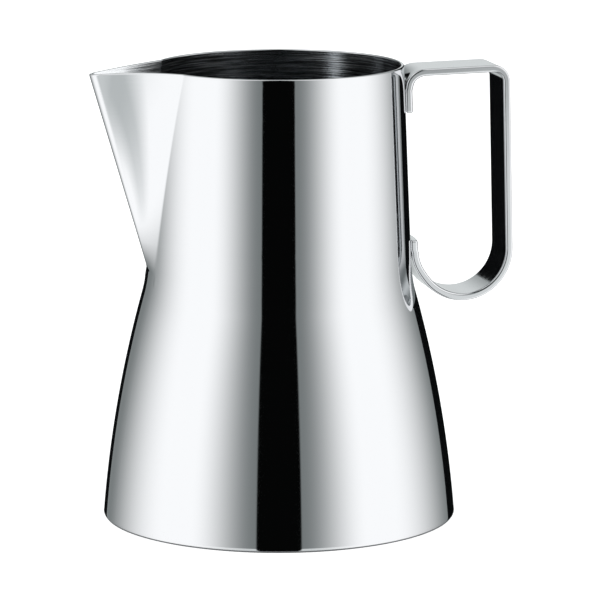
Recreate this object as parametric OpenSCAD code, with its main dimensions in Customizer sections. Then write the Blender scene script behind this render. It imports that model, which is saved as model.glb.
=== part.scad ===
// Cream jug in polished stainless steel: a waisted wall in one piece, a V spout let into it,
// a pressed base pan and a bent strip handle, welded together.
// The origin is the centre of the face it stands on. The spout points along -X, the handle along +X.

/* [Wall] */
// Height from the standing face to the rim
rim_h = 100; // [85:1:125]
// Outer radius at the standing face
base_r = 39; // [34:0.5:48]
// Outer radius at the rim
rim_r = 27.4; // [24:0.2:33]
// Height at which the lines of the skirt and the collar cross
waist_h = 52.8; // [45:0.2:62]
// Outer radius at which the lines of the skirt and the collar cross
waist_r = 29.3; // [25:0.1:35]
// How far the skirt's outline swells outside its chord
skirt_bulge = 1.35; // [0.4:0.05:2.5]
// Radius of the hollow blend at the waist
waist_blend_r = 30; // [15:1:45]
// Thickness of the wall's sheet
wall_t = 0.7; // [0.5:0.05:1.2]
// Radius of the lower outside edge
foot_edge_r = 0.6; // [0.2:0.05:1]

/* [Base pan] */
// Thickness of the pan's sheet
pan_t = 0.8; // [0.5:0.05:1.2]
// Height of the pan's upturned flange
flange_h = 3.5; // [2.5:0.1:8]
// Inside radius between the pan's floor and its flange
pan_corner_r = 1.2; // [0.5:0.1:1.6]

/* [Spout] */
// Distance of the lip's point from the jug's axis
spout_reach = 42.2; // [38:0.2:52]
// Half of the spout's width where its rim meets the wall's rim
spout_half_w = 13.6; // [9:0.2:16]
// Height of the spout's lower end on the wall
spout_root_h = 55.4; // [52:0.2:70]
// Half of the spout's width at its lower end
spout_root_half_w = 5.2; // [3:0.2:8]
// Radius of the ridge at the rim
ridge_r = 2.6; // [1.2:0.1:3]
// Radius of the hollow in each cheek at the rim
cheek_r = 65; // [50:5:300]
// Thickness of the spout's sheet
spout_t = 0.7; // [0.5:0.05:1]
// How far the lip's point hangs below the rim
lip_drop = 1.1; // [0.3:0.1:3]

/* [Handle] */
// Width of the handle's strip
strip_w = 12.2; // [9:0.2:18]
// Thickness of the handle's strip
strip_t = 1.6; // [1.2:0.1:2.4]
// Distance of the grip's outer face from the wall
grip_reach = 23; // [20:0.5:32]
// Angle by which the whole handle leans back from the wall
handle_lean = 1.45; // [0:0.05:3]
// How far the handle's top face lies below the rim, beside the wall
top_drop = 1.3; // [0.8:0.1:6]
// Inside radius of the bend beside the wall
wall_bend_r = 2.6; // [1.5:0.1:4]
// Inside radius of the bend above the grip
grip_bend_r = 2.2; // [1:0.1:4]
// Length of the upper foot below its bend
upper_foot_l = 5.4; // [4:0.1:12]
// Height of the lower foot's end
lower_foot_h = 60.9; // [58:0.1:70]
// Length of the lower foot above its bend
lower_foot_l = 3; // [2:0.1:8]

/* [Welds] */
// Gap left for the weld between the wall and each piece that is set against it
weld_gap = 0.05; // [0.02:0.01:0.2]

/* [Hidden] */
$fn = 96;
spare = 1; // how far a cutting solid runs past what it cuts

function angle_of(v) = atan2(v[1], v[0]);
function direction(a) = [cos(a), sin(a)];
function arc_rest(c, r, a, b, steps) =
    [for (i = [1:steps]) c + r * direction(a + (b - a) * i / steps)];
function arc(c, r, a, b, steps) = concat([c + r * direction(a)], arc_rest(c, r, a, b, steps));
function backwards(list) = [for (i = [len(list) - 1:-1:0]) list[i]];

// --- The wall's outline, in the plane of radius and height: an arc, a blend and a line ---
base_point = [base_r, 0];
waist_point = [waist_r, waist_h];
rim_point = [rim_r, rim_h];
skirt_chord = norm(waist_point - base_point);
skirt_dir = (waist_point - base_point) / skirt_chord;
skirt_r = skirt_chord * skirt_chord / (8 * skirt_bulge) + skirt_bulge / 2;
skirt_c = (base_point + waist_point) / 2
    + [-skirt_dir[1], skirt_dir[0]] * (skirt_r - skirt_bulge);
collar_dir = (rim_point - waist_point) / norm(rim_point - waist_point);
collar_out = [collar_dir[1], -collar_dir[0]];
taper = collar_dir[0] / collar_dir[1];

// The blend's circle touches the skirt's arc and the collar's line from outside
blend_start = waist_point + collar_out * waist_blend_r;
from_skirt = blend_start - skirt_c;
blend_run = sqrt(pow(from_skirt * collar_dir, 2) - from_skirt * from_skirt
    + pow(skirt_r + waist_blend_r, 2)) - from_skirt * collar_dir;
blend_c = blend_start + collar_dir * blend_run;
skirt_end_a = angle_of(blend_c - skirt_c);
collar_a = angle_of(collar_out);
blend_low_h = blend_c[1] - waist_blend_r * sin(skirt_end_a);
blend_high_h = blend_c[1] - waist_blend_r * sin(collar_a);
skirt_steps = 20;
blend_steps = 6;
edge_steps = 6;

// These take a depth inside the outer face, or outside it where the depth is negative
function skirt_angle(depth, z) = asin((z - skirt_c[1]) / (skirt_r - depth));
function skirt_radius(depth, z) = skirt_c[0] + (skirt_r - depth) * cos(skirt_angle(depth, z));
function collar_radius(depth, z) = waist_r - depth / collar_out[0] + (z - waist_h) * taper;
function blend_radius(depth, z) =
    blend_c[0] - sqrt(pow(waist_blend_r + depth, 2) - pow(z - blend_c[1], 2));
function wall_radius(depth, z) =
    z < blend_low_h ? skirt_radius(depth, z)
    : z < blend_high_h ? blend_radius(depth, z)
    : collar_radius(depth, z);
function wall_line(depth, from_z, to_z) = concat(
    arc(skirt_c, skirt_r - depth, skirt_angle(depth, from_z), skirt_end_a, skirt_steps),
    arc(blend_c, waist_blend_r + depth, 180 + skirt_end_a, 180 + collar_a, blend_steps),
    [[collar_radius(depth, to_z), to_z]]);

// Everything inside the wall's face at a depth, up to a height
module inside_wall(depth, to_z) {
    rotate_extrude()
        polygon(concat([[0, 0]], wall_line(depth, 0, to_z), [[0, to_z]]));
}

// --- The spout: straight lines join an arc of the wall at its root to a V at the rim ---
// Its sections are half outlines in the plane, u away from the jug's axis and v aside
crease_x = sqrt(rim_r * rim_r - spout_half_w * spout_half_w);
crease = [crease_x, spout_half_w];
ridge_c = [spout_reach - ridge_r, 0];
cheek_v = crease - ridge_c;
cheek_d = norm(cheek_v);
cheek_along = (pow(cheek_r + ridge_r, 2) - cheek_r * cheek_r + cheek_d * cheek_d) / (2 * cheek_d);
cheek_aside = sqrt(pow(cheek_r + ridge_r, 2) - cheek_along * cheek_along);
cheek_c = ridge_c + (cheek_v * cheek_along + [cheek_v[1], -cheek_v[0]] * cheek_aside) / cheek_d;
ridge_a = angle_of(cheek_c - ridge_c);
crease_a = angle_of(crease - cheek_c);
edge_depth = 4; // how far the V's flat edges run in from the wall's outer face
ridge_steps = 4;
cheek_steps = 6;
spout_steps = 5;

root_r = wall_radius(0, spout_root_h);
root_a = asin(spout_root_half_w / root_r);
ridge_l = ridge_r * ridge_a;
cheek_l = cheek_r * (ridge_a - 180 - crease_a);
shares = concat(
    [for (i = [0:ridge_steps]) i / ridge_steps * ridge_l],
    [for (i = [1:cheek_steps]) ridge_l + i / cheek_steps * cheek_l]) / (ridge_l + cheek_l);

// How far a height is from the spout's root towards the rim
function spout_share(h) = (h - spout_root_h) / (rim_h - spout_root_h);
// Half of the spout's width where it meets the wall's outer face, and that point
function crease_w(h) =
    spout_root_half_w + spout_share(h) * (spout_half_w - spout_root_half_w);
function crease_point(h) = [sqrt(pow(wall_radius(0, h), 2) - pow(crease_w(h), 2)), crease_w(h)];
function rim_section(depth) = concat(
    arc(ridge_c, ridge_r - depth, 0, ridge_a, ridge_steps),
    arc_rest(cheek_c, cheek_r + depth, ridge_a - 180, crease_a, cheek_steps));
function root_section(depth) =
    [for (share = shares) (root_r - depth) * direction(root_a * share)];
// The spout's half outline at a height, drawn to the wall, and its flat edge through the wall
function spout_half(depth, h) =
    let (
        s = spout_share(h),
        straight = (1 - s) * root_section(depth) + s * rim_section(depth),
        to_wall = crease_point(h) - (1 - s) * root_r * direction(root_a) - s * crease
    )
    concat(
        [for (i = [0:len(shares) - 1]) straight[i] + to_wall * shares[i] * shares[i]],
        [crease_point(h) - [edge_depth, depth]]);
function spout_heights(low_h) = concat(
    [low_h],
    [for (i = [1:spout_steps])
        spout_root_h + i / spout_steps * (rim_h + spare - spout_root_h)]);
// A point in the middle of the outline at a height
function spout_heart(h) =
    let (s = spout_share(h))
    [-(1 - s) * (root_r - edge_depth / 2) - s * crease_x, 0, h];

// Everything inside the spout's face at a depth, from a height up past the rim
module inside_spout(depth, low_h) {
    heights = spout_heights(low_h);
    rings = [for (h = heights) spout_ring(spout_half(depth, h), h)];
    n = len(rings[0]);
    top = n * spout_steps;
    polyhedron(
        points = concat(
            [for (points = rings) each points],
            [spout_heart(low_h), spout_heart(rim_h + spare)]),
        faces = concat(
            [for (i = [0:n - 1]) [(i + 1) % n, i, top + n]],
            [for (i = [0:n - 1]) [top + i, top + (i + 1) % n, top + n + 1]],
            [for (k = [0:n:top - n], i = [0:n - 1]) [k + n + i, k + i, k + n + (i + 1) % n]],
            [for (k = [0:n:top - n], i = [0:n - 1])
                [k + n + (i + 1) % n, k + i, k + (i + 1) % n]]));
}
function spout_ring(half, h) = concat(
    [for (p = half) [-p[0], p[1], h]],
    [for (p = backwards(half)) if (p[1] > 0) [-p[0], -p[1], h]]);
lip_run = spout_reach - crease_x;
lip_r = (lip_run * lip_run + lip_drop * lip_drop) / (2 * lip_drop);

// --- The handle: its frame starts on the wall beside the upper bend, u outward and v upward ---
wall_bend_c = [strip_t + wall_bend_r, 0];
seat_h = rim_h - top_drop - strip_t - wall_bend_r;
foot_step = 0.2; // how far the bends stand out from the feet, so that no faces graze
seat_x = wall_radius(-weld_gap - foot_step, seat_h);
top_v = strip_t + wall_bend_r;
grip_bend_c = [grip_reach - strip_t - grip_bend_r, top_v - strip_t - grip_bend_r];
loop_h = lower_foot_h - lower_foot_l;
loop_u = cos(handle_lean)
    * (wall_radius(-weld_gap - foot_step, loop_h) - seat_x - tan(handle_lean) * (seat_h - loop_h));
loop_v = (loop_h - seat_h - loop_u * sin(handle_lean)) / cos(handle_lean);
loop_r = (grip_reach - loop_u) / 2;
foot_lap = 1; // how far a foot runs into its bend
bend_steps = 8;
loop_steps = 24;

// ===================== sub-parts =====================

// The waisted wall, open at both ends, with a notch for the spout and a rounded rim
module wall() {
    edge_c = [skirt_radius(0, foot_edge_r) - foot_edge_r, foot_edge_r];
    rim_edge_r = (collar_radius(0, rim_h) - collar_radius(wall_t, rim_h)) / 2;
    rim_edge_h = rim_h - rim_edge_r;
    rim_edge_c = [collar_radius(0, rim_edge_h) - rim_edge_r, rim_edge_h];
    color([0.78, 0.79, 0.80])
        difference() {
            rotate_extrude()
                polygon(concat(
                    [[skirt_radius(wall_t, 0), 0]],
                    arc(edge_c, foot_edge_r, -90, 0, edge_steps),
                    wall_line(0, 2 * foot_edge_r, rim_edge_h),
                    arc(rim_edge_c, rim_edge_r, 0, 180, edge_steps),
                    backwards(wall_line(wall_t, 0, rim_edge_h))));
            notch();
        }
    module notch() {
        low_w = crease_w(spout_root_h) + weld_gap;
        high_w = crease_w(rim_h + spare) + weld_gap;
        rotate([90, 0, -90])
            linear_extrude(height = base_r)
                polygon([
                    [-low_w, spout_root_h],
                    [low_w, spout_root_h],
                    [high_w, rim_h + spare],
                    [-high_w, rim_h + spare]]);
    }
}

// The V spout, welded into the wall's notch along its cheeks
module spout() {
    color([0.86, 0.87, 0.88])
        intersection() {
            difference() {
                inside_spout(0, spout_root_h + weld_gap);
                inside_spout(spout_t, spout_root_h);
                inside_wall(wall_t, rim_h + spare);
            }
            translate([-crease_x, 0, rim_h - lip_r])
                rotate([90, 0, 0])
                    cylinder(r = lip_r, h = 4 * spout_half_w, center = true, $fn = 360);
        }
}

// The base: a shallow pan whose flange stands inside the skirt's lower edge
module base_pan() {
    rim_in = wall_t + weld_gap + pan_t;
    corner_h = pan_t + pan_corner_r;
    corner_c = [skirt_radius(rim_in, corner_h) - pan_corner_r, corner_h];
    color([0.62, 0.63, 0.65])
        difference() {
            inside_lower_wall();
            rotate_extrude()
                polygon(concat(
                    [[0, pan_t]],
                    arc(corner_c, pan_corner_r, -90, 0, edge_steps),
                    [[skirt_radius(rim_in, flange_h + spare), flange_h + spare]],
                    [[0, flange_h + spare]]));
        }
    module inside_lower_wall() {
        intersection() {
            inside_wall(wall_t + weld_gap, rim_h);
            cylinder(r = base_r, h = flange_h);
        }
    }
}

// The strip handle, bent to a hook with a foot on the wall at each end
module handle_strip() {
    color([0.84, 0.85, 0.86]) {
        translate([seat_x, 0, seat_h])
            rotate([90, -handle_lean, 0])
                linear_extrude(height = strip_w, center = true)
                    polygon(concat(strip_face(0), backwards(strip_face(strip_t))));
        foot(seat_h - upper_foot_l, seat_h + foot_lap);
        foot(loop_h - foot_lap, lower_foot_h);
    }
    // The strip's face at a depth inside the hook's outer face, from the wall to the lower foot
    function strip_face(depth) = concat(
        arc(wall_bend_c, wall_bend_r + strip_t - depth, 180, 90, bend_steps),
        arc(grip_bend_c, grip_bend_r + strip_t - depth, 90, 0, bend_steps),
        arc([grip_reach - loop_r, loop_v], loop_r - depth, 0, -180, loop_steps));
    module foot(low_h, high_h) {
        intersection() {
            difference() {
                inside_wall(-weld_gap - strip_t, rim_h);
                inside_wall(-weld_gap, rim_h + spare);
            }
            translate([0, -strip_w / 2, low_h])
                cube([base_r + strip_t, strip_w, high_h - low_h]);
        }
    }
}

wall();
spout();
base_pan();
handle_strip();
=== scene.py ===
import bmesh
import bpy
from math import asin, atan2, cos, degrees, hypot, pi, radians, sin, sqrt
from mathutils import Matrix, Vector


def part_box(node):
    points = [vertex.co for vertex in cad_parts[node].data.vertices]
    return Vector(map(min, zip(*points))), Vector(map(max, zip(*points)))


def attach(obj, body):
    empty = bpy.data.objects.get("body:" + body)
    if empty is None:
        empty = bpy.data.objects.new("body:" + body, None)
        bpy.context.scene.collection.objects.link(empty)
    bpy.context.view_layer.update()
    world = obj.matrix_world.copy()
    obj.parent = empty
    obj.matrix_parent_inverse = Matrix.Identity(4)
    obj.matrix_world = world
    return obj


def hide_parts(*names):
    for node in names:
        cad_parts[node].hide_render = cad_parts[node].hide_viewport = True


# Cream jug in polished stainless sheet. Sizes are worked out in millimetres, as in the part's
# source, and turned to metres as each mesh is placed.
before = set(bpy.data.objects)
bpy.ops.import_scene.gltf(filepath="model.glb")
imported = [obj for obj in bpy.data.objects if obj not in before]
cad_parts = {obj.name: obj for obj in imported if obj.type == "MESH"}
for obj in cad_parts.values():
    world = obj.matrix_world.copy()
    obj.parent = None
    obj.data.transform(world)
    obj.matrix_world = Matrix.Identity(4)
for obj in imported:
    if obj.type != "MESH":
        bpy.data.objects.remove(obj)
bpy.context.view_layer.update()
MM = 0.001


# ---------------------------------------------------------------- helpers

def linear(hex_colour):
    """An sRGB hex colour as linear RGBA."""
    parts = [int(hex_colour[i:i + 2], 16) / 255 for i in (1, 3, 5)]
    return [c / 12.92 if c <= 0.04045 else ((c + 0.055) / 1.055) ** 2.4 for c in parts] + [1.0]


def add_node(tree, kind, links=None, inputs=None, **settings):
    """Adds a node; links maps its inputs to other nodes' outputs, inputs maps them to values."""
    new = tree.nodes.new(kind)
    for name, value in settings.items():
        setattr(new, name, value)
    for name, value in (inputs or {}).items():
        new.inputs[name].default_value = value
    for name, output in (links or {}).items():
        tree.links.new(output, new.inputs[name])
    return new


def material(name):
    mat = bpy.data.materials.new(name)
    mat.use_nodes = True
    return mat, mat.node_tree, mat.node_tree.nodes["Principled BSDF"]


def sheet(name, columns, rows, place, ends=False):
    """A grid whose vertex in a column and a row goes to place(column, row), in mm. ends closes
    the two ends of a tube."""
    bm = bmesh.new()
    bmesh.ops.create_grid(bm, x_segments=columns, y_segments=rows, size=0.5)
    for vert in bm.verts:
        column = round((vert.co.x + 0.5) * columns)
        row = round((vert.co.y + 0.5) * rows)
        vert.co = Vector(place(column, row)) * MM
    bmesh.ops.remove_doubles(bm, verts=bm.verts, dist=1e-7)
    if ends:
        bmesh.ops.holes_fill(bm, edges=[edge for edge in bm.edges if edge.is_boundary], sides=0)
    return finish_mesh(name, bm)


def finish_mesh(name, bm):
    bmesh.ops.recalc_face_normals(bm, faces=bm.faces)
    for face in bm.faces:
        face.smooth = True
    mesh = bpy.data.meshes.new(name)
    bm.to_mesh(mesh)
    bm.free()
    piece = bpy.data.objects.new(name, mesh)
    bpy.context.scene.collection.objects.link(piece)
    return piece


def thicken(piece, thickness, edge, segments, inner_slot=0):
    """Gives a sheet its thickness behind its face, and rounds its edges."""
    solid = piece.modifiers.new("thickness", "SOLIDIFY")
    solid.thickness = thickness * MM
    solid.offset = -1
    solid.use_even_offset = True
    solid.material_offset = inner_slot
    round_edges(piece, edge, segments)


def round_edges(piece, edge, segments):
    rounded = piece.modifiers.new("edges", "BEVEL")
    rounded.width = edge * MM
    rounded.segments = segments
    rounded.profile = 0.5
    rounded.limit_method = "ANGLE"
    rounded.angle_limit = radians(50)
    rounded.harden_normals = True
    rounded.use_clamp_overlap = False


def steps(start, end, count):
    """Even steps from start to end, without the start."""
    return [start + (end - start) * i / count for i in range(1, count + 1)]


def on_circle(centre, radius, degrees_round):
    return (centre[0] + radius * cos(radians(degrees_round)),
            centre[1] + radius * sin(radians(degrees_round)))


# ---------------------------------------------------------------- the jug's outline

RIM_H, BASE_R, RIM_R = 100.0, 39.0, 27.4
WAIST_H, WAIST_R, SKIRT_BULGE, BLEND_R = 52.8, 29.3, 1.35, 30.0
WALL_T, FOOT_EDGE_R = 0.7, 0.6

chord = hypot(WAIST_R - BASE_R, WAIST_H)
skirt_x, skirt_y = (WAIST_R - BASE_R) / chord, WAIST_H / chord
skirt_r = chord ** 2 / (8 * SKIRT_BULGE) + SKIRT_BULGE / 2
skirt_c = ((BASE_R + WAIST_R) / 2 - skirt_y * (skirt_r - SKIRT_BULGE),
           WAIST_H / 2 + skirt_x * (skirt_r - SKIRT_BULGE))
collar = hypot(RIM_R - WAIST_R, RIM_H - WAIST_H)
collar_x, collar_y = (RIM_R - WAIST_R) / collar, (RIM_H - WAIST_H) / collar
blend_start = (WAIST_R + collar_y * BLEND_R, WAIST_H - collar_x * BLEND_R)
apart = (blend_start[0] - skirt_c[0], blend_start[1] - skirt_c[1])
along = apart[0] * collar_x + apart[1] * collar_y
run = sqrt(along ** 2 - apart[0] ** 2 - apart[1] ** 2 + (skirt_r + BLEND_R) ** 2) - along
blend_c = (blend_start[0] + run * collar_x, blend_start[1] + run * collar_y)
skirt_end = atan2(blend_c[1] - skirt_c[1], blend_c[0] - skirt_c[0])
BLEND_LOW = blend_c[1] - BLEND_R * sin(skirt_end)
BLEND_HIGH = blend_c[1] + BLEND_R * collar_x


def wall_radius(z):
    """The wall's outer radius at a height: the skirt's arc, the waist's hollow, the collar."""
    if z < BLEND_LOW:
        return skirt_c[0] + sqrt(skirt_r ** 2 - (z - skirt_c[1]) ** 2)
    if z < BLEND_HIGH:
        return blend_c[0] - sqrt(BLEND_R ** 2 - (z - blend_c[1]) ** 2)
    return WAIST_R + (z - WAIST_H) * collar_x / collar_y


# ---------------------------------------------------------------- wall and spout

SPOUT_REACH, SPOUT_HALF_W, SPOUT_ROOT_H, SPOUT_ROOT_HALF_W = 42.2, 13.6, 55.4, 5.2
RIDGE_R, CHEEK_R, LIP_DROP = 2.6, 65.0, 1.1

crease_x = sqrt(RIM_R ** 2 - SPOUT_HALF_W ** 2)
ridge_c = (SPOUT_REACH - RIDGE_R, 0.0)
cheek_v = (crease_x - ridge_c[0], SPOUT_HALF_W)
cheek_d = hypot(*cheek_v)
cheek_along = ((CHEEK_R + RIDGE_R) ** 2 - CHEEK_R ** 2 + cheek_d ** 2) / (2 * cheek_d)
cheek_aside = sqrt((CHEEK_R + RIDGE_R) ** 2 - cheek_along ** 2)
cheek_c = (ridge_c[0] + (cheek_v[0] * cheek_along + cheek_v[1] * cheek_aside) / cheek_d,
           (cheek_v[1] * cheek_along - cheek_v[0] * cheek_aside) / cheek_d)
ridge_a = degrees(atan2(cheek_c[1], cheek_c[0] - ridge_c[0]))
crease_a = degrees(atan2(SPOUT_HALF_W - cheek_c[1], crease_x - cheek_c[0]))
ridge_l = RIDGE_R * radians(ridge_a)
cheek_l = CHEEK_R * radians((ridge_a - 180 - crease_a) % 360)
RIDGE_SHARE = ridge_l / (ridge_l + cheek_l)
root_r = wall_radius(SPOUT_ROOT_H)
root_a = degrees(asin(SPOUT_ROOT_HALF_W / root_r))
lip_run = SPOUT_REACH - crease_x
lip_r = (lip_run ** 2 + LIP_DROP ** 2) / (2 * LIP_DROP)

# Columns across the spout are shares of the way from its ridge to its crease, and run on past
# the crease to take in the weld's small hollow; the rest go round the wall
SHARES = ([0.0] + steps(0, RIDGE_SHARE * 1.15, 8) + steps(RIDGE_SHARE * 1.15, 0.88, 20)
          + steps(0.88, 1.08, 16))
ROUND_STEPS = 100
WELD_HOLLOW, WELD_FADE = 0.085, 2.4
HALF = len(SHARES) - 1 + ROUND_STEPS


def spout_at(share, z):
    """Angle from the spout's middle and distance from the axis of a point on the spout."""
    s = max((z - SPOUT_ROOT_H) / (RIM_H - SPOUT_ROOT_H), -0.03)
    root = on_circle((0, 0), root_r, root_a * share)
    if share < RIDGE_SHARE:
        rim = on_circle(ridge_c, RIDGE_R, ridge_a * share / RIDGE_SHARE)
    else:
        turn = degrees((share - RIDGE_SHARE) / (1 - RIDGE_SHARE) * cheek_l / CHEEK_R)
        rim = on_circle(cheek_c, CHEEK_R, ridge_a - 180 - turn)
    half_w = SPOUT_ROOT_HALF_W + s * (SPOUT_HALF_W - SPOUT_ROOT_HALF_W)
    radius = wall_radius(max(z, SPOUT_ROOT_H - 2))
    edge = (sqrt(radius ** 2 - half_w ** 2), half_w)
    straight_edge = ((1 - s) * root_r * cos(radians(root_a)) + s * crease_x,
                     (1 - s) * SPOUT_ROOT_HALF_W + s * SPOUT_HALF_W)
    u = (1 - s) * root[0] + s * rim[0] + (edge[0] - straight_edge[0]) * share ** 2
    v = (1 - s) * root[1] + s * rim[1] + (edge[1] - straight_edge[1]) * share ** 2
    return atan2(v, u), hypot(u, v)


def body_point(column, z):
    """A point of the outer face in a half column, at a height: u away from the axis, v aside."""
    radius = wall_radius(z)
    if column < len(SHARES):
        angle, reach = spout_at(SHARES[column], z)
        # The hollow where the weld is dressed fades in about the spout's root
        rise = min(max((z - SPOUT_ROOT_H + WELD_FADE / 2) / WELD_FADE, 0), 1)
        hollow = WELD_HOLLOW * rise
        out = reach - radius
        if hollow > 0 and abs(out) < hollow:
            out = max(out, 0) + (hollow - abs(out)) ** 2 / (4 * hollow)
        radius += max(out, 0)
    else:
        start = spout_at(SHARES[-1], z)[0]
        angle = start + (pi - start) * (column - len(SHARES) + 1) / ROUND_STEPS
    return radius * cos(angle), radius * sin(angle)


def lip_height(column):
    u = abs(body_point(column, RIM_H)[0])
    if column >= len(SHARES) or u < crease_x:
        return RIM_H
    return RIM_H - lip_r + sqrt(lip_r ** 2 - (u - crease_x) ** 2)


foot_edge_c = (wall_radius(FOOT_EDGE_R) - FOOT_EDGE_R, FOOT_EDGE_R)
FOOT_ROWS = 6
LIP_FROM = 92.0
HEIGHTS = (steps(FOOT_EDGE_R, 1.4, 2) + steps(1.4, 44, 27) + steps(44, 54, 16)
           + steps(54, 57, 20) + steps(57, 62, 8) + steps(62, LIP_FROM, 16)
           + steps(LIP_FROM, 98.8, 5) + steps(98.8, RIM_H, 3))
lip_heights = [lip_height(column) for column in range(HALF + 1)]


def body_place(column, row):
    side = 1 if column <= HALF else -1
    column = column if column <= HALF else 2 * HALF - column
    if row <= FOOT_ROWS:
        r, z = on_circle(foot_edge_c, FOOT_EDGE_R, -90 + 90 * row / FOOT_ROWS)
        u, v = body_point(column, z)
        u, v = u * r / hypot(u, v), v * r / hypot(u, v)
    else:
        z = HEIGHTS[row - FOOT_ROWS - 1]
        if z > LIP_FROM:
            z = LIP_FROM + (z - LIP_FROM) * (lip_heights[column] - LIP_FROM) / (RIM_H - LIP_FROM)
        u, v = body_point(column, z)
    return -u, side * v, z


body = sheet("body_sheet", 2 * HALF, FOOT_ROWS + len(HEIGHTS), body_place)
thicken(body, WALL_T, 0.3, 4, inner_slot=1)
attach(body, "root")
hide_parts("wall", "spout")


# ---------------------------------------------------------------- base pan

PAN_T, FLANGE_H, PAN_CORNER_R = 0.8, 3.5, 1.2
PAN_EDGE_R, FLANGE_TAPER = 0.4, 0.45
pan_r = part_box("base_pan")[1][0] / MM
pan_in = pan_r - PAN_T - FLANGE_TAPER
bm = bmesh.new()
profile = ([(0.0, 0.0), (pan_r - PAN_EDGE_R, 0.0)]
           + [on_circle((pan_r - PAN_EDGE_R, PAN_EDGE_R), PAN_EDGE_R, a)
              for a in steps(-90, 0, 4)]
           + [(pan_r - FLANGE_TAPER, FLANGE_H - 0.2),
              (pan_r - FLANGE_TAPER - 0.2, FLANGE_H),
              (pan_in, FLANGE_H), (pan_in, PAN_T + PAN_CORNER_R)]
           + [on_circle((pan_in - PAN_CORNER_R, PAN_T + PAN_CORNER_R), PAN_CORNER_R, a)
              for a in steps(0, -90, 6)]
           + [(0.0, PAN_T)])
verts = [bm.verts.new(Vector((r, 0, z)) * MM) for r, z in profile]
edges = [bm.edges.new(pair) for pair in zip(verts, verts[1:])]
bmesh.ops.spin(bm, geom=verts + edges, cent=(0, 0, 0), axis=(0, 0, 1), angle=2 * pi,
               steps=144, use_merge=True)
bmesh.ops.remove_doubles(bm, verts=bm.verts, dist=1e-7)
pan = finish_mesh("base_pan_sheet", bm)
pan.data.set_sharp_from_angle(angle=radians(50))
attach(pan, "root")
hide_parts("base_pan")


# ---------------------------------------------------------------- handle

STRIP_W, STRIP_T, GRIP_REACH, HANDLE_LEAN, TOP_DROP = 12.2, 1.6, 23.0, 1.45, 1.3
WALL_BEND_R, GRIP_BEND_R, UPPER_FOOT_L, LOWER_FOOT_H, LOWER_FOOT_L = 2.6, 2.2, 5.4, 60.9, 3.0
WELD_GAP, FOOT_STEP = 0.05, 0.2
lean_c, lean_s = cos(radians(HANDLE_LEAN)), sin(radians(HANDLE_LEAN))
seat_h = RIM_H - TOP_DROP - STRIP_T - WALL_BEND_R
seat_x = wall_radius(seat_h) + WELD_GAP + FOOT_STEP
loop_h = LOWER_FOOT_H - LOWER_FOOT_L
loop_x = wall_radius(loop_h) + WELD_GAP + FOOT_STEP
loop_u = lean_c * (loop_x - seat_x - lean_s / lean_c * (seat_h - loop_h))
loop_v = (loop_h - seat_h - loop_u * lean_s) / lean_c
loop_r = (GRIP_REACH - loop_u) / 2
top_v = STRIP_T + WALL_BEND_R
grip_c = (GRIP_REACH - STRIP_T - GRIP_BEND_R, top_v - STRIP_T - GRIP_BEND_R)


def strip_path():
    """Stations along the strip's outer face: x, z, the face's way out, and how far the
    section is dished to the wall there."""
    stations = []

    def leaned(centre, radius, a, dish):
        u, v = on_circle(centre, radius, a)
        out = radians(a + HANDLE_LEAN)
        stations.append((seat_x + u * lean_c - v * lean_s, seat_h + u * lean_s + v * lean_c,
                         cos(out), sin(out), dish))

    for z in [seat_h - UPPER_FOOT_L] + steps(seat_h - UPPER_FOOT_L, seat_h - 0.4, 8):
        stations.append((wall_radius(z) + WELD_GAP, z, -1.0, 0.0, 1.0))
    for i in range(13):
        leaned((top_v, 0), top_v, 180 - 90 * i / 12, 0.5 + 0.5 * cos(pi * i / 12))
    for i in range(1, 12):
        u = top_v + (grip_c[0] - top_v) * i / 12
        leaned((u, 0), top_v, 90, 0.0)
    for i in range(13):
        leaned(grip_c, GRIP_BEND_R + STRIP_T, 90 - 90 * i / 12, 0.0)
    for i in range(1, 16):
        v = grip_c[1] + (loop_v - grip_c[1]) * i / 16
        leaned((0, v), GRIP_REACH, 0, 0.0)
    for i in range(49):
        ramp = max(0.0, (i - 38) / 10)
        leaned((GRIP_REACH - loop_r, loop_v), loop_r, -180 * i / 48,
               0.5 - 0.5 * cos(pi * ramp))
    for z in steps(loop_h + 0.3, LOWER_FOOT_H, 5):
        stations.append((wall_radius(z) + WELD_GAP, z, -1.0, 0.0, 1.0))
    return stations


stations = strip_path()
STRIP_COLUMNS = 24


def strip_place(column, row):
    """The section runs along the outer face and back along the inner one, and closes."""
    x, z, out_x, out_z, dish = stations[row]
    column %= 2 * STRIP_COLUMNS + 2
    inner = column > STRIP_COLUMNS
    across = 2 * STRIP_COLUMNS + 1 - column if inner else column
    y = STRIP_W * (across / STRIP_COLUMNS - 0.5)
    radius = wall_radius(min(max(z, loop_h), RIM_H))
    sink = dish * (radius - sqrt(radius ** 2 - y ** 2)) - (STRIP_T if inner else 0)
    return x + out_x * sink, y, z + out_z * sink


handle = sheet("handle_bar", 2 * STRIP_COLUMNS + 2, len(stations) - 1, strip_place, ends=True)
round_edges(handle, 0.5, 5)
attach(handle, "root")
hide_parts("handle_strip")


# ---------------------------------------------------------------- materials

MEAN_R = 28.0
POLISHED_LIP, BRUSHED_FROM = -0.0335, -0.0285


def around_and_up(tree):
    """Millimetres round the jug and up it, as a vector, from the object's own coordinates."""
    place = add_node(tree, "ShaderNodeTexCoord").outputs["Object"]
    split = add_node(tree, "ShaderNodeSeparateXYZ", {0: place})
    turn = add_node(tree, "ShaderNodeMath", {0: split.outputs["Y"], 1: split.outputs["X"]},
                    operation="ARCTAN2")
    around = add_node(tree, "ShaderNodeMath", {0: turn.outputs[0]}, {1: MEAN_R},
                      operation="MULTIPLY")
    up = add_node(tree, "ShaderNodeMath", {0: split.outputs["Z"]}, {1: 1 / MM},
                  operation="MULTIPLY")
    return add_node(tree, "ShaderNodeCombineXYZ",
                    {"X": around.outputs[0], "Y": up.outputs[0]}).outputs[0]


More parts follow.
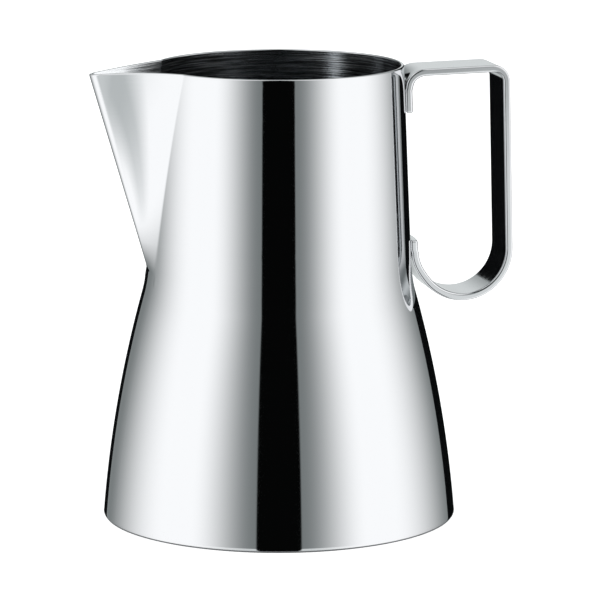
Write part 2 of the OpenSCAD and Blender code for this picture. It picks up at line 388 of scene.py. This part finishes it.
def lines(tree, vector, turned, across, length, detail=3.0):
    """Fine lines: a noise stretched along one way, turned on the surface, in mm."""
    turned_to = add_node(tree, "ShaderNodeMapping", {"Vector": vector},
                         {"Rotation": (0, 0, radians(turned)),
                          "Scale": (1 / length, 1 / across, 1.0)})
    return add_node(tree, "ShaderNodeTexNoise", {"Vector": turned_to.outputs[0]},
                    {"Scale": 1.0, "Detail": detail, "Roughness": 0.6}).outputs["Fac"]


def mirror_polished_sheet():
    """18/10 stainless sheet, buffed to a mirror: a cool grey mirror with the faintest haze,
    where the buffing wheel ran round the body, and soft marks of handling."""
    mat, tree, steel = material("mirror_polished_sheet")
    steel.inputs["Base Color"].default_value = linear("#e2e3e5")
    steel.inputs["Metallic"].default_value = 1.0
    place = around_and_up(tree)
    buffed = lines(tree, place, 0, 0.5, 30)
    handled = add_node(tree, "ShaderNodeTexNoise", {"Vector": place},
                       {"Scale": 0.06, "Detail": 4.0, "Roughness": 0.6}).outputs["Fac"]
    both = add_node(tree, "ShaderNodeMath", {0: buffed, 1: handled}, operation="MULTIPLY")
    haze = add_node(tree, "ShaderNodeMapRange", {"Value": both.outputs[0]},
                    {"From Min": 0.1, "From Max": 0.45, "To Min": 0.025, "To Max": 0.06})
    tree.links.new(haze.outputs["Result"], steel.inputs["Roughness"])
    bump = add_node(tree, "ShaderNodeBump", {"Height": buffed},
                    {"Strength": 0.04, "Distance": 0.00002})
    tree.links.new(bump.outputs[0], steel.inputs["Normal"])
    return mat


def brushed_inside_with_painted_shade():
    """The same sheet inside, left as drawn and brushed: lines round the body 0.2 mm apart, and
    slanting ones across them 0.3 mm apart, as coarse as they need to be to show. Their greys are
    darker on the whole than the outside's steel: painted shade for the inside of the jug. Inside
    the spout's lip it is polished like the outside."""
    mat, tree, steel = material("brushed_inside_with_painted_shade")
    steel.inputs["Metallic"].default_value = 1.0
    place = around_and_up(tree)
    drawn = lines(tree, place, 0, 0.2, 22)
    slanting = lines(tree, place, 48, 0.3, 12, 1.0)
    both = add_node(tree, "ShaderNodeMath", {0: drawn, 1: slanting}, operation="ADD")
    brushed = add_node(tree, "ShaderNodeMapRange", {"Value": both.outputs[0]},
                       {"From Min": 0.85, "From Max": 1.2})
    # Painted shade: the brushed lines run between two greys that are darker on the whole than the
    # outside's steel, standing in for the shade inside the jug
    brushed_lines_and_painted_shade = add_node(tree, "ShaderNodeMix", {"Factor": brushed.outputs["Result"]},
                       {"A": linear("#8b8e90"), "B": linear("#e8eaec")}, data_type="RGBA")
    at = add_node(tree, "ShaderNodeTexCoord").outputs["Object"]
    spout_way = add_node(tree, "ShaderNodeSeparateXYZ", {0: at}).outputs["X"]
    past_lip = add_node(tree, "ShaderNodeMapRange", {"Value": spout_way},
                        {"From Min": POLISHED_LIP, "From Max": BRUSHED_FROM})
    colour = add_node(tree, "ShaderNodeMix",
                      {"Factor": past_lip.outputs["Result"], "B": brushed_lines_and_painted_shade.outputs["Result"]},
                      {"A": linear("#e6e8ea")}, data_type="RGBA")
    tree.links.new(colour.outputs["Result"], steel.inputs["Base Color"])
    rough = add_node(tree, "ShaderNodeMapRange", {"Value": both.outputs[0]},
                     {"From Min": 0.8, "From Max": 1.25, "To Min": 0.1, "To Max": 0.22})
    tree.links.new(rough.outputs["Result"], steel.inputs["Roughness"])
    depth = add_node(tree, "ShaderNodeMapRange", {"Value": spout_way},
                     {"From Min": POLISHED_LIP, "From Max": BRUSHED_FROM,
                      "To Min": 0.1, "To Max": 0.4})
    bump = add_node(tree, "ShaderNodeBump",
                    {"Height": both.outputs[0], "Strength": depth.outputs["Result"]},
                    {"Distance": 0.00006})
    tree.links.new(bump.outputs[0], steel.inputs["Normal"])
    return mat


def polished_strip():
    """The same steel as flat bar, ground along its length and then polished."""
    mat, tree, steel = material("polished_strip")
    steel.inputs["Base Color"].default_value = linear("#e2e3e5")
    steel.inputs["Metallic"].default_value = 1.0
    place = add_node(tree, "ShaderNodeTexCoord").outputs["Object"]
    along = add_node(tree, "ShaderNodeMapping", {"Vector": place},
                     {"Scale": (60.0, 2500.0, 60.0)})
    ground = add_node(tree, "ShaderNodeTexNoise", {"Vector": along.outputs[0]},
                      {"Scale": 1.0, "Detail": 3.0}).outputs["Fac"]
    rough = add_node(tree, "ShaderNodeMapRange", {"Value": ground},
                     {"From Min": 0.3, "From Max": 0.7, "To Min": 0.04, "To Max": 0.1})
    tree.links.new(rough.outputs["Result"], steel.inputs["Roughness"])
    bump = add_node(tree, "ShaderNodeBump", {"Height": ground},
                    {"Strength": 0.06, "Distance": 0.00002})
    tree.links.new(bump.outputs[0], steel.inputs["Normal"])
    return mat


def satin_pan():
    """Pressed sheet with a satin finish: lathe-fine rings about the axis, 0.4 mm apart."""
    mat, tree, steel = material("satin_pan")
    steel.inputs["Base Color"].default_value = linear("#b9bdc0")
    steel.inputs["Metallic"].default_value = 1.0
    place = add_node(tree, "ShaderNodeTexCoord").outputs["Object"]
    split = add_node(tree, "ShaderNodeSeparateXYZ", {0: place})
    flat = add_node(tree, "ShaderNodeCombineXYZ",
                    {"X": split.outputs["X"], "Y": split.outputs["Y"]})
    radius = add_node(tree, "ShaderNodeVectorMath", {0: flat.outputs[0]}, operation="LENGTH")
    rings = add_node(tree, "ShaderNodeTexNoise", {"W": radius.outputs["Value"]},
                     {"Scale": 2500.0, "Detail": 2.0}, noise_dimensions="1D").outputs["Fac"]
    rough = add_node(tree, "ShaderNodeMapRange", {"Value": rings},
                     {"From Min": 0.3, "From Max": 0.7, "To Min": 0.24, "To Max": 0.36})
    tree.links.new(rough.outputs["Result"], steel.inputs["Roughness"])
    bump = add_node(tree, "ShaderNodeBump", {"Height": rings},
                    {"Strength": 0.2, "Distance": 0.00004})
    tree.links.new(bump.outputs[0], steel.inputs["Normal"])
    return mat


body.data.materials.append(mirror_polished_sheet())
body.data.materials.append(brushed_inside_with_painted_shade())
handle.data.materials.append(polished_strip())
pan.data.materials.append(satin_pan())


# ---------------------------------------------------------------- studio

scene = bpy.context.scene
scene.view_settings.view_transform = "Standard"
scene.cycles.max_bounces = 16
scene.cycles.glossy_bounces = 14

# A light tent over a pale table, laid out alike to the camera's left and right. Each entry:
# degrees away from the camera, grey. A soft box fills 60 to 80 degrees on either side, the
# corners behind are dim, a fill light stands at the back, and in front is a black gap. Each
# light eases into the next.
CAMERA_AZIMUTH = -12.4
BLACK, DIM, FILL, BRIGHT = "#050505", "#787878", "#c8c8c8", "#fafafa"
TENT = [(0, BLACK), (14, BLACK), (15, DIM), (60, BRIGHT), (80, BRIGHT), (150, DIM), (180, FILL)]
TABLE = [(0, BLACK), (14, BLACK), (15, FILL), (60, BRIGHT), (80, BRIGHT), (150, DIM), (180, DIM)]
TENT_STRENGTH = 1.3
world = bpy.data.worlds.new("light_tent")
scene.world = world
world.use_nodes = True
tree = world.node_tree
way = add_node(tree, "ShaderNodeTexCoord").outputs["Generated"]
turned = add_node(tree, "ShaderNodeMapping", {"Vector": way},
                  {"Rotation": (0, 0, radians(90 - CAMERA_AZIMUTH))})
split = add_node(tree, "ShaderNodeSeparateXYZ", {0: turned.outputs[0]})
forward, up = split.outputs["X"], split.outputs["Z"]
round_tent = add_node(tree, "ShaderNodeMath", {0: split.outputs["Y"], 1: forward},
                      operation="ARCTAN2").outputs[0]
either_side = add_node(tree, "ShaderNodeMath", {0: round_tent}, operation="ABSOLUTE").outputs[0]
share = add_node(tree, "ShaderNodeMath", {0: either_side}, {1: pi},
                 operation="DIVIDE").outputs[0]


def greys_round(greys):
    """Greys that ease from one angle to the next; the dim ones are a little cooler."""
    ramp = add_node(tree, "ShaderNodeValToRGB", {"Fac": share})
    ramp.color_ramp.interpolation = "EASE"
    stops = ramp.color_ramp.elements
    for i, (angle, grey) in enumerate(greys):
        stop = stops[i] if i < 2 else stops.new(angle / 180)
        stop.position = angle / 180
        level = linear(grey)[0]
        stop.color = (level * (0.9 + 0.1 * level), level, level, 1)
    return ramp.outputs["Color"]


# A grey strip lies across the table at the camera's left, with soft ends and sides
STRIP_GREY = "#b4b8b8"
ENDS = ((-90, -40), (-25, -35))
SIDES = ((-26, -23), (-18, -21))
on_strip = None
for value, (clear, full) in ([(round_tent, (radians(a), radians(b))) for a, b in ENDS]
                             + [(up, (sin(radians(a)), sin(radians(b)))) for a, b in SIDES]):
    fade = add_node(tree, "ShaderNodeMapRange", {"Value": value},
                    {"From Min": clear, "From Max": full}).outputs["Result"]
    if on_strip:
        fade = add_node(tree, "ShaderNodeMath", {0: on_strip, 1: fade},
                        operation="MULTIPLY").outputs[0]
    on_strip = fade
table = add_node(tree, "ShaderNodeMix", {"Factor": on_strip, "A": greys_round(TABLE)},
                 {"B": linear(STRIP_GREY)}, data_type="RGBA").outputs["Result"]

# The table's edge fades over a degree, and lies lower behind the jug than before it
TABLE_END, TENT_START, EDGE_TILT = -13.5, -12.5, -0.1
edge = add_node(tree, "ShaderNodeMath", {0: forward, 2: up}, {1: EDGE_TILT},
                operation="MULTIPLY_ADD").outputs[0]
past_table = add_node(tree, "ShaderNodeMapRange", {"Value": edge},
                      {"From Min": sin(radians(TABLE_END)), "From Max": sin(radians(TENT_START))})
around = add_node(tree, "ShaderNodeMix",
                  {"Factor": past_table.outputs["Result"], "A": table, "B": greys_round(TENT)},
                  data_type="RGBA")
back = next(n for n in tree.nodes if n.type == "BACKGROUND")
tree.links.new(around.outputs["Result"], back.inputs["Color"])
back.inputs["Strength"].default_value = TENT_STRENGTH

paper = add_node(tree, "ShaderNodeBackground", inputs={"Color": (1, 1, 1, 1), "Strength": 1.0})
seen = add_node(tree, "ShaderNodeLightPath")
choice = add_node(tree, "ShaderNodeMixShader",
                  {"Fac": seen.outputs["Is Camera Ray"], 1: back.outputs[0],
                   2: paper.outputs[0]})
output = next(n for n in tree.nodes if n.type == "OUTPUT_WORLD")
tree.links.new(choice.outputs[0], output.inputs["Surface"])


def matt(name, hex_colour):
    """A matt surface with no gloss at all."""
    mat, _, surface = material(name)
    surface.inputs["Base Color"].default_value = linear(hex_colour)
    surface.inputs["Roughness"].default_value = 1.0
    surface.inputs["Specular IOR Level"].default_value = 0.0
    return mat


def only_reflected(piece):
    """The jug reflects the piece; nothing else sees it and it casts no shadow."""
    piece.visible_camera = False
    piece.visible_diffuse = False
    piece.visible_shadow = False


# The floor: matt white paper with a glow of its own, so that it stays even
bm = bmesh.new()
bmesh.ops.create_circle(bm, cap_ends=True, segments=96, radius=6.0)
floor = finish_mesh("floor", bm)
floor_mat, _, surface = material("white_paper")
surface.inputs["Base Color"].default_value = linear("#f4f4f4")
surface.inputs["Roughness"].default_value = 0.9
surface.inputs["Emission Color"].default_value = (1, 1, 1, 1)
surface.inputs["Emission Strength"].default_value = 0.72
floor.data.materials.append(floor_mat)
floor.visible_glossy = False


# The shadow where the jug stands, which the turned-in bottom edge draws as a thin dark line
bm = bmesh.new()
bmesh.ops.create_circle(bm, cap_ends=True, segments=128, radius=(BASE_R + 0.4) * MM,
                        matrix=Matrix.Translation((0, 0, -0.03 * MM)))
contact = finish_mesh("contact_shadow", bm)
contact.data.materials.append(matt("shadow_grey", "#6a6b6c"))
only_reflected(contact)


# Two black cards stand behind the jug, just out of view, and draw its dark edges
card_mat = matt("black_card", "#0b0c0d")
CARDS = {"left_card": ((-135.0, 438.0), (0.0, 450.0), -250.0, 190.0),
         "right_card": ((190.0, 420.0), (372.0, 300.0), -120.0, 300.0)}
for name, (near, far, low, high) in CARDS.items():
    card = sheet(name, 1, 1, lambda column, row: (*(far if column else near),
                                                  high if row else low))
    card.data.materials.append(card_mat)
    only_reflected(card)


# ---------------------------------------------------------------- camera

camera = bpy.data.objects.new("camera", bpy.data.cameras.new("camera"))
scene.collection.objects.link(camera)
scene.camera = camera
camera.data.lens = 235.0
camera.data.sensor_width = 36.0
camera.data.clip_end = 50.0
camera.location = (-0.1823, -0.8292, 0.2067)
PITCH, YAW = 0.1852, 0.0055
camera.rotation_euler = (pi / 2 - PITCH, 0.0, radians(CAMERA_AZIMUTH) - YAW)
